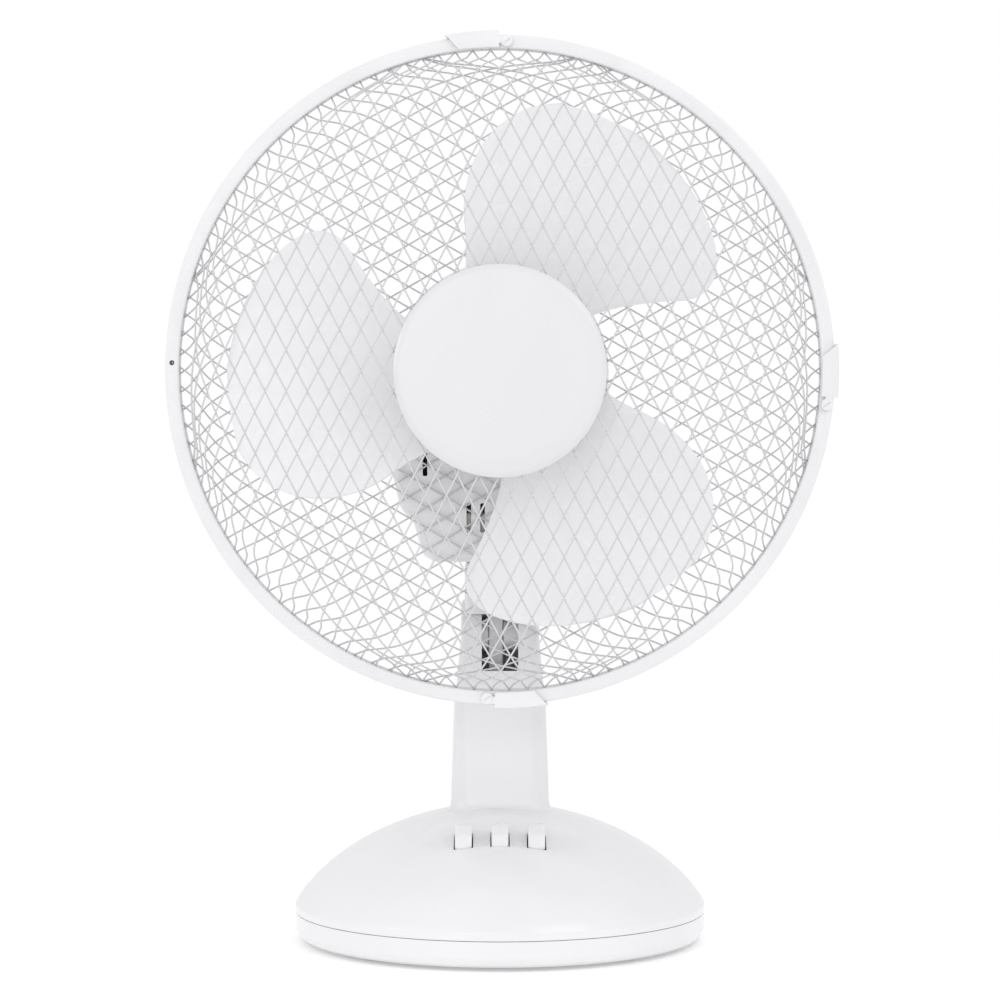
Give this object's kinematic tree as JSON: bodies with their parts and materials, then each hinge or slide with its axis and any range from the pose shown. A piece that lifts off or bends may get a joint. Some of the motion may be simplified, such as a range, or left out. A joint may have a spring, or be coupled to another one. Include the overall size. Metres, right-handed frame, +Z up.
{
  "type": "desk fan",
  "caption": "Desk fan with a round wire guard, broad-bladed rotor and enclosed motor, on a tilting and oscillating column over a round domed base with push keys.",
  "frame": {"origin": "on the table, under the centre of the round base", "axes": "+Z up, -Y the way the fan blows, +X to the right when it is seen from the front"},
  "size_m": [0.3368, 0.2128, 0.465],
  "materials": {
    "housing_white": "satin white moulding",
    "guard_white": "white powder coat",
    "blade_white": "smooth white moulding",
    "switch_black": "matte black moulding",
    "foot_rubber": "matte black rubber",
    "bright_steel": "zinc plated",
    "copper_wire": "enamelled winding",
    "lamination_steel": "stacked bare sheet",
    "cast_aluminium": "as cast",
    "bearing_bronze": "oiled sinter",
    "gear_nylon": "natural moulding",
    "capacitor_case": "satin grey moulding"
  },
  "bodies": {
    "base": {"base_cover": "housing_white", "base_bottom_plate": "housing_white", "foot_front_left": "foot_rubber", "foot_front_right": "foot_rubber", "foot_rear_left": "foot_rubber", "foot_rear_right": "foot_rubber", "base_screw_1": "bright_steel", "base_screw_2": "bright_steel", "base_screw_3": "bright_steel", "column": "housing_white", "column_screw_left": "bright_steel", "column_screw_right": "bright_steel", "switch_block": "switch_black", "cord_gland": "foot_rubber", "tilt_bolt": "bright_steel", "tilt_nut": "bright_steel"},
    "switch_latch": {"switch_latch": "bright_steel"},
    "key_off": {"key_off": "housing_white"},
    "key_low": {"key_low": "housing_white"},
    "key_high": {"key_high": "housing_white"},
    "neck": {"tilt_neck": "housing_white", "oscillation_shaft": "bright_steel", "thrust_washer": "bearing_bronze", "pivot_arm": "bright_steel"},
    "head": {"motor_front_housing": "housing_white", "motor_rear_cover": "housing_white", "rear_cover_screw": "bright_steel", "motor_frame": "cast_aluminium", "front_end_bell": "cast_aluminium", "stator_core": "lamination_steel", "stator_coil_1": "copper_wire", "stator_coil_2": "copper_wire", "stator_coil_3": "copper_wire", "stator_coil_4": "copper_wire", "front_bearing": "bearing_bronze", "rear_bearing": "bearing_bronze", "gearbox_case": "cast_aluminium", "gearbox_lid": "cast_aluminium", "run_capacitor": "capacitor_case", "rear_guard": "guard_white", "guard_nut": "housing_white", "front_guard": "guard_white", "front_rim": "guard_white", "rear_rim": "guard_white", "rim_screw": "bright_steel", "badge_disc": "housing_white", "badge_screw": "bright_steel"},
    "rotor": {"fan_blade": "blade_white", "spinner_nut": "housing_white", "motor_shaft": "bright_steel", "rotor_core": "cast_aluminium"},
    "worm_wheel": {"worm_wheel": "gear_nylon"},
    "crank": {"crank_gear": "gear_nylon"},
    "link": {"link_arm": "bright_steel"},
    "oscillation_knob": {"oscillation_knob": "housing_white"},
    "clip_top": {"clip_top": "guard_white"},
    "clip_right": {"clip_right": "guard_white"},
    "clip_bottom": {"clip_bottom": "guard_white"}
  },
  "joints": [
    {"name": "tilt", "type": "hinge", "parent": "base", "child": "neck", "pos_m": [0, 0.014, 0.1575], "axis": [-1, 0, 0], "range_deg": [-15, 20]},
    {"name": "oscillation", "type": "hinge", "parent": "neck", "child": "head", "pos_m": [0, 0.014, 0.22], "axis": [0, 0, 1], "range_deg": [-40, 40]},
    {"name": "rotor_spin", "type": "hinge", "parent": "head", "child": "rotor", "pos_m": [0, 0.014, 0.2955], "axis": [0, 1, 0], "continuous": true},
    {"name": "worm_wheel_spin", "type": "hinge", "parent": "head", "child": "worm_wheel", "pos_m": [0.014, 0.049, 0.2955], "axis": [0, 0, 1], "continuous": true},
    {"name": "crank_turn", "type": "hinge", "parent": "head", "child": "crank", "pos_m": [0.0093, 0.06261, 0.2675], "axis": [0, 0, 1], "range_deg": [-90, 90]},
    {"name": "link_swing", "type": "hinge", "parent": "crank", "child": "link", "pos_m": [0.0153, 0.06261, 0.2495], "axis": [0, 0, 1], "range_deg": [-90, 90]},
    {"name": "knob_pull", "type": "slide", "parent": "head", "child": "oscillation_knob", "axis": [0, 0, 1], "range_m": [0, 0.006]},
    {"name": "latch_slide", "type": "slide", "parent": "base", "child": "switch_latch", "axis": [1, 0, 0], "range_m": [0, 0.0015], "stiffness_N_per_m": 400},
    {"name": "key_off_press", "type": "slide", "parent": "base", "child": "key_off", "axis": [0, 0, -1], "range_m": [0, 0.0045], "stiffness_N_per_m": 600},
    {"name": "key_low_press", "type": "slide", "parent": "base", "child": "key_low", "axis": [0, 0, -1], "range_m": [0, 0.0045], "stiffness_N_per_m": 600},
    {"name": "key_high_press", "type": "slide", "parent": "base", "child": "key_high", "axis": [0, 0, -1], "range_m": [0, 0.0045], "stiffness_N_per_m": 600},
    {"name": "clip_top_swing", "type": "hinge", "parent": "head", "child": "clip_top", "pos_m": [0.00344, -0.056, 0.45956], "axis": [0, 1, 0], "range_deg": [0, 90]},
    {"name": "clip_right_swing", "type": "hinge", "parent": "head", "child": "clip_right", "pos_m": [0.16323, -0.056, 0.27863], "axis": [0, 1, 0], "range_deg": [0, 90]},
    {"name": "clip_bottom_swing", "type": "hinge", "parent": "head", "child": "clip_bottom", "pos_m": [-0.00659, -0.056, 0.13153], "axis": [0, 1, 0], "range_deg": [0, 90]}
  ],
  "couplings": [
    {"joint": "worm_wheel_spin", "follows": "rotor_spin", "ratio": -0.083333},
    {"joint": "crank_turn", "follows": "oscillation", "ratio": -2.25},
    {"joint": "link_swing", "follows": "oscillation", "ratio": 2.25}
  ]
}
